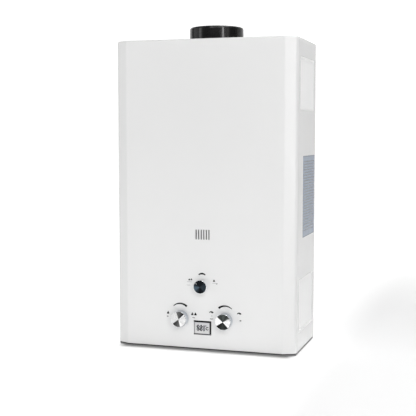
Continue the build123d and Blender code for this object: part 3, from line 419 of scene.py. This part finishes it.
# --- printing inks and sticker
ink = Mat("print_ink", (0.010, 0.010, 0.011), 0.5, spec=0.25)
ink.color(ink.ramp(ink.noise(500, 3), [(0.3, (0.006, 0.006, 0.007)), (0.7, (0.016, 0.016, 0.017))]))
MATS["print_ink"] = ink
for pname, lo, hi in (("print_grey", 0.16, 0.22), ("print_pale", 0.34, 0.44)):
    pale = Mat(pname, (lo, lo, lo), 0.5, spec=0.4)
    pale.color(pale.ramp(pale.noise(500, 3), [(0.3, (lo, lo, lo)), (0.7, (hi, hi, hi))]))
    MATS[pname] = pale
seg = Mat("lcd_segment", (0.008, 0.009, 0.012), 0.35, spec=0.3)
seg.color(seg.ramp(seg.noise(700, 2), [(0.3, (0.006, 0.007, 0.010)), (0.7, (0.012, 0.013, 0.018))]))
MATS["lcd_segment"] = seg
ghost_m = Mat("lcd_ghost", (0.15, 0.158, 0.178), 0.32, spec=0.3)
ghost_m.color(ghost_m.ramp(ghost_m.noise(700, 2), [(0.3, (0.13, 0.138, 0.158)), (0.7, (0.17, 0.178, 0.198))]))
MATS["lcd_ghost"] = ghost_m
tick = Mat("pointer_paint", (0.42, 0.43, 0.44), 0.45, spec=0.4)
tick.color(tick.ramp(tick.noise(600, 3), [(0.3, (0.36, 0.37, 0.38)), (0.7, (0.48, 0.49, 0.50))]))
MATS["pointer_paint"] = tick
groove = Mat("pointer_dark", (0.05, 0.05, 0.055), 0.5, spec=0.3)
groove.color(groove.ramp(groove.noise(600, 3), [(0.3, (0.040, 0.040, 0.043)), (0.7, (0.065, 0.065, 0.070))]))
MATS["pointer_dark"] = groove

# ----------------------------------------------------------------------------
# Materials on the CAD nodes
# ----------------------------------------------------------------------------
SPECIAL = {"gas_knob": "chrome_gas", "water_knob": "chrome_water", "gas_knob_face": "spun_metal_gas_painted_reflection", "water_knob_face": "spun_metal_water_painted_reflection", "display_bezel": "bezel_gloss", "edge_trim": "dark_trim_painted_shade"}
for sub in frame["record"]["subparts"]:
    node = NODES[sub["node"]]
    name = SPECIAL.get(sub["node"], sub["material_slot"])
    node.data.materials.clear()
    node.data.materials.append(MATS[name].m)

# ----------------------------------------------------------------------------
# Mesh helpers
# ----------------------------------------------------------------------------


def make(name, verts, faces, mat, body, slot=None, smooth=False):
    me = bpy.data.meshes.new(name)
    me.from_pydata([Vector(p) * MM for p in verts], [], faces)
    bm = bmesh.new()
    bm.from_mesh(me)
    bmesh.ops.remove_doubles(bm, verts=bm.verts, dist=1e-8)
    bmesh.ops.recalc_face_normals(bm, faces=bm.faces)
    bm.to_mesh(me)
    bm.free()
    me.validate()
    o = bpy.data.objects.new(name, me)
    bpy.context.scene.collection.objects.link(o)
    me.materials.append(MATS[mat].m)
    if smooth:
        for p in me.polygons:
            p.use_smooth = True
    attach(o, body)
    return o


def slabs(outlines, y0, y1):
    """Thin closed prisms standing on a plane of constant Y; outlines are lists of (x, z)."""
    verts, faces = [], []
    for pts in outlines:
        n, b = len(pts), len(verts)
        verts += [(x, y0, z) for x, z in pts] + [(x, y1, z) for x, z in pts]
        faces.append([b + i for i in range(n)])
        faces.append([b + n + i for i in reversed(range(n))])
        for i in range(n):
            j = (i + 1) % n
            faces.append([b + i, b + j, b + n + j, b + n + i])
    return verts, faces


PRINT_Y0, PRINT_Y1 = Y_FRONT - 0.06, Y_FRONT + 0.02


def arc_band(cx, cz, r, a0, a1, t0, t1, n=24):
    """Curved band about (cx, cz), degrees clockwise from the top, width t0 to t1."""
    outer, inner = [], []
    for i in range(n + 1):
        f = i / n
        a = math.radians(a0 + (a1 - a0) * f)
        t = t0 + (t1 - t0) * f
        outer.append((cx + (r + t / 2) * math.sin(a), cz + (r + t / 2) * math.cos(a)))
        inner.append((cx + (r - t / 2) * math.sin(a), cz + (r - t / 2) * math.cos(a)))
    return outer + inner[::-1]


def flame(cx, z0, w, h):
    """Small flame outline, w wide and h tall, standing on z0."""
    side = [(0.05, 1.0), (0.16, 0.78), (0.30, 0.55), (0.46, 0.30), (0.50, 0.12), (0.40, 0.0)]
    left = [(-0.40, 0.0), (-0.50, 0.14), (-0.44, 0.34), (-0.28, 0.52), (-0.20, 0.70), (-0.08, 0.86)]
    return [(cx + w * x, z0 + h * z) for x, z in side + left]


def bar(x0, x1, z0, z1):
    return [(x0, z0), (x1, z0), (x1, z1), (x0, z1)]


# ----------------------------------------------------------------------------
# Printed marks around the knobs
# ----------------------------------------------------------------------------


def crescent(cx, cz, r, half, t_mid, t_end, n=24):
    """Short arc that is thickest in the middle."""
    outer, inner = [], []
    for i in range(n + 1):
        f = 2 * i / n - 1
        a = math.radians(half * f)
        t = t_end + (t_mid - t_end) * (1 - f * f)
        outer.append((cx + (r + t / 2) * math.sin(a), cz + (r + t / 2) * math.cos(a)))
        inner.append((cx + (r - t / 2) * math.sin(a), cz + (r - t / 2) * math.cos(a)))
    return outer + inner[::-1]


def tap(cx, cz):
    """Tap spout seen from the side: a bent band that widens towards its nozzle."""
    return arc_band(cx, cz, 3.5, -68, 70, 1.0, 3.8, 18)


dark_marks = [
    crescent(-2.6, 132.8, 9.4, 42, 3.2, 2.0),
    arc_band(-44.6, 66.8, 18.6, -44, 44, 1.4, 4.0),
    arc_band(41.4, 66.5, 18.7, -42, 42, 4.0, 1.4),
    flame(-68.15, 64.9, 4.6, 5.4),
    flame(-21.2, 64.8, 4.8, 5.6), flame(-15.15, 64.8, 5.2, 5.6),
    flame(-26.9, 128.9, 3.8, 3.6), flame(-22.9, 129.1, 3.8, 3.6),
    flame(20.2, 128.4, 4.2, 4.2),
    tap(14.6, 69.6), tap(67.0, 70.2),
]
make("printed_marks", *slabs(dark_marks, PRINT_Y0, PRINT_Y1), "print_ink", "casing", "black_plastic")

grey_marks = [
    bar(-70.6, -67.4, 59.2, 61.2), bar(-60.2, -57.0, 59.9, 61.9),
    bar(68.4, 71.6, 59.0, 61.2),
    bar(24.2, 26.4, 123.9, 125.0),
    [(-21.2, 60.0), (-16.3, 59.4), (-16.3, 60.8), (-21.2, 61.4)],
    arc_band(15.75, 70.0, 10.0, 163, 197, 1.5, 1.5, 10),
]
make("printed_bars", *slabs(grey_marks, PRINT_Y0, PRINT_Y1), "print_grey", "casing", "grey_plastic")
pale_marks = [
    bar(-31.1, -21.5, 125.7, 126.6), bar(-32.0, -25.0, 119.6, 120.4),
    bar(17.1, 27.3, 125.2, 125.9),
    bar(15.1, 17.2, 64.7, 66.4),
]
make("printed_rules", *slabs(pale_marks, PRINT_Y0, PRINT_Y1), "print_pale", "casing", "grey_plastic")

# ----------------------------------------------------------------------------
# Display segments: two lit digits, an unlit third and a C
# ----------------------------------------------------------------------------
SEGS = {"0": "abcdef", "1": "bc", "2": "abged", "3": "abgcd", "4": "fgbc", "5": "afgcd", "6": "afgedc", "7": "abc", "8": "abcdefg", "9": "abcdfg"}


def seven(x0, z0, w, h, t, lit, slant=0.08):
    """Outlines of the lit segments of one seven-segment digit."""
    g = 0.03 * t
    m = h / 2

    def hor(zc):
        return [(t / 2 + g, zc), (t + g, zc + t / 2), (w - t - g, zc + t / 2), (w - t / 2 - g, zc), (w - t - g, zc - t / 2), (t + g, zc - t / 2)]

    def ver(xc, za, zb):
        return [(xc, za + g), (xc + t / 2, za + t / 2 + g), (xc + t / 2, zb - t / 2 - g), (xc, zb - g), (xc - t / 2, zb - t / 2 - g), (xc - t / 2, za + t / 2 + g)]

    all_segs = {
        "a": hor(h - t / 2), "g": hor(m), "d": hor(t / 2),
        "f": ver(t / 2, m, h - t / 2), "b": ver(w - t / 2, m, h - t / 2),
        "e": ver(t / 2, t / 2, m), "c": ver(w - t / 2, t / 2, m),
    }
    return [[(x0 + x + slant * z, z0 + z) for x, z in all_segs[k]] for k in lit]


SEG_Y0, SEG_Y1 = LCD_Y - 0.05, LCD_Y + 0.02
DIGITS = ((-12.4, "5"), (-6.6, "2"))
D_Z, D_W, D_H, D_T, D_LEAN = 36.8, 5.6, 11.8, 2.4, 0.02
lit, unlit = [], []
for dx, ch in DIGITS:
    lit += seven(dx, D_Z, D_W, D_H, D_T, SEGS[ch], D_LEAN)
    unlit += seven(dx, D_Z, D_W, D_H, D_T, [k for k in "abcdefg" if k not in SEGS[ch]], D_LEAN)
unlit += seven(-0.5, D_Z - 0.3, 4.4, D_H, 1.9, "abcdefg", D_LEAN)
lit.append(arc_band(8.15, 42.0, 2.35, 122, 418, 1.45, 1.45))
unlit.append(arc_band(5.3, 47.0, 0.95, 0, 180, 0.8, 0.8, 12))
unlit.append(arc_band(5.3, 47.0, 0.95, 180, 360, 0.8, 0.8, 12))
make("lcd_segments", *slabs(lit, SEG_Y0, SEG_Y1), "lcd_segment", "casing", "lcd_grey")
make("lcd_unlit_segments", *slabs(unlit, SEG_Y0 + 0.02, SEG_Y1), "lcd_ghost", "casing", "lcd_grey")

# ----------------------------------------------------------------------------
# Paint in the pointer grooves of the three knobs
# ----------------------------------------------------------------------------
for kname, (kx, kz, kr), tip, ang, r0, r1, paint in (
    ("season", SEASON, SEASON_TIP, -50.0, -4.98, -1.42, "pointer_paint"),
    ("gas", GAS, KNOB_TIP, 60.0, -3.0, -1.42, "pointer_dark"),
    ("water", WATER, KNOB_TIP, 60.0, -3.0, -1.42, "pointer_dark"),
):
    a = math.radians(ang)
    ux, uz = math.sin(a), math.cos(a)
    vx, vz = math.cos(a), -math.sin(a)
    pts = [(kx + ux * (kr + q) + vx * 0.53 * e, kz + uz * (kr + q) + vz * 0.53 * e) for q, e in ((r0, -1), (r1, -1), (r1, 1), (r0, 1))]
    make(kname + "_pointer", *slabs([pts], tip + 0.06, tip + 0.29), paint, kname + "_knob", "grey_plastic")

# --- valve spring: the CAD coil copied into an object of its own; in the valve it shortens as the rod pushes on its right end
coil = bpy.data.objects.new("spring_coil", NODES["valve_spring"].data.copy())
bpy.context.scene.collection.objects.link(coil)
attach(coil, "casing")
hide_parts("valve_spring")
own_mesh(coil)

# ----------------------------------------------------------------------------
# Stage, light and camera
# ----------------------------------------------------------------------------
scene = bpy.context.scene
scene.view_settings.view_transform = "Standard"

profile = [(-4.5, 0.0)] + [(1.6, 0.0)]
for i in range(1, 13):
    a = math.radians(90 * i / 12)
    profile.append((1.6 + 1.0 * math.sin(a), 1.0 - 1.0 * math.cos(a)))
profile.append((2.6, 5.0))
me = bpy.data.meshes.new("floor")
n = len(profile)
me.from_pydata([(-6, p[0], p[1]) for p in profile] + [(6, p[0], p[1]) for p in profile], [], [[i, i + 1, n + i + 1, n + i] for i in range(n - 1)])
for p in me.polygons:
    p.use_smooth = True
floor = bpy.data.objects.new("floor", me)
scene.collection.objects.link(floor)
fl = Mat("floor_white", (0.90, 0.90, 0.90), 0.6, spec=0.2, Emission_Color=(1, 1, 1, 1), Emission_Strength=0.50)
fx, fy, fz = fl.xyz()
qx = fl.math("MAXIMUM", fl.math("SUBTRACT", fl.math("ABSOLUTE", fx), 0.166), 0.0)
qy = fl.math("MAXIMUM", fl.math("SUBTRACT", fl.math("ABSOLUTE", fl.math("SUBTRACT", fy, 0.007)), 0.080), 0.0)
gap = fl.math("SQRT", fl.math("ADD", fl.math("MULTIPLY", qx, qx), fl.math("MULTIPLY", qy, qy)))
ax = fl.math("ABSOLUTE", fx)
cut = fl.math("ADD", fl.math("MULTIPLY", fl.math("SUBTRACT", ax, 0.148), 0.414), fl.math("MULTIPLY", fl.math("ADD", fy, 0.076), -0.910))
gap = fl.math("MAXIMUM", gap, cut)
# painted contact shadow: the floor is darker next to the casing's front
foot_shade = fl.math("MULTIPLY", fl.range(gap, 1.0, 0.0, 0.0, 0.026), fl.range(ax, 1.0, 0.0, 0.152, 0.170))
fl.color(fl.mix(foot_shade, fl.ramp(fl.noise(0.8, 2), [(0.3, (0.89, 0.89, 0.89)), (0.7, (0.91, 0.91, 0.91))]), (0.42, 0.42, 0.42)))
# painted shadow: the floor's glow is cut next to the casing's front
glow_with_painted_shadow = fl.math("MAXIMUM", fl.range(gap, 0.0, 0.52, 0.002, 0.024), fl.range(ax, 0.0, 0.52, 0.154, 0.170))
glow = fl.math("ADD", glow_with_painted_shadow, fl.range(fy, 0.0, 0.10, 0.8, 1.8))
dim = fl.math("MULTIPLY", fl.range(fx, 0.0, 0.66, 0.11, 0.25), fl.range(fy, 1.0, 0.0, 0.5, 1.3))
dim = fl.math("MAXIMUM", dim, fl.range(fx, 0.0, 0.70, 0.30, 0.80))
glow = fl.math("MULTIPLY", glow, fl.math("SUBTRACT", 1.0, dim))
fl.link(glow, fl.b.inputs["Emission Strength"])
me.materials.append(fl.m)

world = bpy.data.worlds.new("studio")
world.use_nodes = True
world.node_tree.nodes["Background"].inputs["Color"].default_value = (1, 1, 1, 1)
world.node_tree.nodes["Background"].inputs["Strength"].default_value = 0.08
scene.world = world


def area(name, loc, aim, size, power, size_y=None):
    d = bpy.data.lights.new(name, "AREA")
    d.shape = "RECTANGLE"
    d.size, d.size_y = size, size_y or size
    d.energy = power
    o = bpy.data.objects.new(name, d)
    o.location = loc
    o.rotation_mode = "QUATERNION"
    o.rotation_quaternion = (Vector(aim) - Vector(loc)).to_track_quat("-Z", "Y")
    scene.collection.objects.link(o)
    return o


LIGHTS = (
    ("box_right", (1.60, -0.75, 1.10), (0, 0, 0.40), 0.40, 1.00, 1.0),
    ("box_left", (-1.68, -1.09, 0.70), (0, 0, 0.30), 0.40, 1.30, 3.4),
    ("box_front", (0.45, -2.30, 1.90), (0, 0, 0.25), 2.00, 1.00, 23.3),
    ("box_key", (1.475, -1.528, 0.75), (0, 0, 0.30), 0.25, 1.60, 10.6),
    ("box_top", (0.55, 0.10, 1.90), (0.17, 0, 0.30), 0.80, 0.80, 9.0),
    ("box_far_left", (-2.00, -0.25, 0.75), (0, 0, 0.45), 0.90, 1.20, 2.0),
    ("strip_top", (0.58, -0.65, 1.835), (0.58, 0.0, 0.12), 1.90, 0.25, 2.2),
    ("strip_key", (1.31, -1.355, 2.20), (0, 0, 0.58), 0.14, 1.80, 3.6),
    ("strip_left", (-1.50, -0.97, 2.10), (0, 0, 0.58), 0.12, 1.20, 1.4),
)
for nm, loc, aim, sx, sy, watts in LIGHTS:
    area(nm, loc, aim, sx, watts, sy)

cam_data = bpy.data.cameras.new("camera")
cam_data.sensor_width = 36.0
cam_data.lens = 928.3 / 416 * 36.0
cam_data.clip_start, cam_data.clip_end = 0.05, 50
cam = bpy.data.objects.new("camera", cam_data)
yaw, pitch = math.radians(17.731), math.radians(-4.646)
cam.location = (0.5155, -1.6605, 0.3970)
cam.rotation_mode = "QUATERNION"
cam.rotation_quaternion = Vector((-math.sin(yaw) * math.cos(pitch), math.cos(yaw) * math.cos(pitch), math.sin(pitch))).to_track_quat("-Z", "Y")
scene.collection.objects.link(cam)
scene.camera = cam
